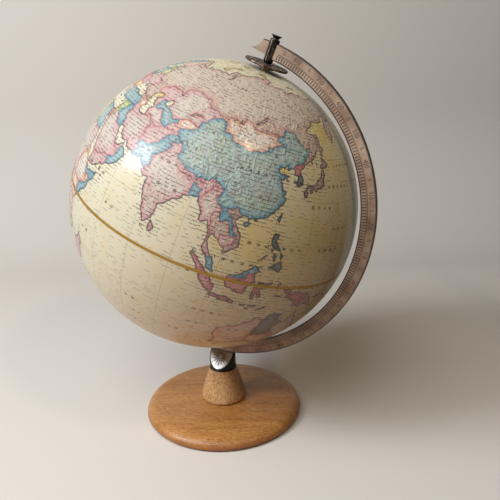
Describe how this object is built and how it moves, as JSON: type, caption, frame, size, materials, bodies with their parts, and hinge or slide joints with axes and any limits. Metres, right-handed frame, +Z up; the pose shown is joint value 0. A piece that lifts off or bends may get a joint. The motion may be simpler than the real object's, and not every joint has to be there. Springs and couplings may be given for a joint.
{
  "type": "desktop globe on stand",
  "caption": "Table globe that spins on a tilted axis in a half meridian arc with an hour dial, on a turned wooden neck and round base.",
  "frame": {"origin": "centre of the felt under the base, on the stand's vertical axis, at table level", "axes": "+Z up; the meridian arc stands in the XZ plane and the ball's polar axis leans 23.5 degrees towards +X; the star plate faces -Y"},
  "size_m": [0.323, 0.3002, 0.4108],
  "materials": {
    "beech_base": "turned beech, oiled and worn at the edge",
    "beech_neck": "turned beech, thin satin varnish",
    "felt": "pressed wool felt",
    "steel": "zinc plated",
    "collar_plastic": "moulded, satin",
    "star_foil": "bright silvery plate with a dark ray star pressed in",
    "arc_plastic": "moulded, brown antique metal look with dark scale",
    "dark_bronze": "dark bronze plated, satin",
    "pewter": "antique pewter with dark numerals",
    "nylon": "natural nylon",
    "brass": "pressed brass eyelet",
    "map_print": "printed map in antique colours with raised relief under gloss varnish",
    "card": "grey-brown card hoop",
    "gold_tape": "gold-brown varnished tape"
  },
  "bodies": {
    "stand": {"base_disc": "beech_base", "felt_pad": "felt", "neck_cone": "beech_neck", "base_bolt": "steel", "bolt_washer": "steel", "collar_nut": "steel", "collar": "collar_plastic", "star_plate": "star_foil", "collar_screw_left": "steel", "collar_screw_right": "steel", "meridian_arc": "arc_plastic", "north_barrel": "dark_bronze", "south_barrel": "dark_bronze", "south_pin": "steel", "thrust_washer": "nylon"},
    "globe": {"north_hemisphere": "map_print", "south_hemisphere": "map_print", "joining_hoop": "card", "equator_band": "gold_tape", "north_bushing": "brass", "south_bushing": "brass"},
    "dial": {"hour_dial": "pewter", "dial_washer": "nylon"},
    "pole_pin": {"north_pin": "steel", "pin_knob": "dark_bronze"}
  },
  "joints": [
    {"name": "globe_spin", "type": "hinge", "parent": "stand", "child": "globe", "pos_m": [0, 0, 0.245], "axis": [0.3987, 0, 0.9171], "continuous": true},
    {"name": "dial_turn", "type": "hinge", "parent": "stand", "child": "dial", "pos_m": [0, 0, 0.245], "axis": [0.3987, 0, 0.9171], "continuous": true},
    {"name": "knob_turn", "type": "hinge", "parent": "stand", "child": "pole_pin", "pos_m": [0, 0, 0.245], "axis": [0.3987, 0, 0.9171], "continuous": true}
  ]
}
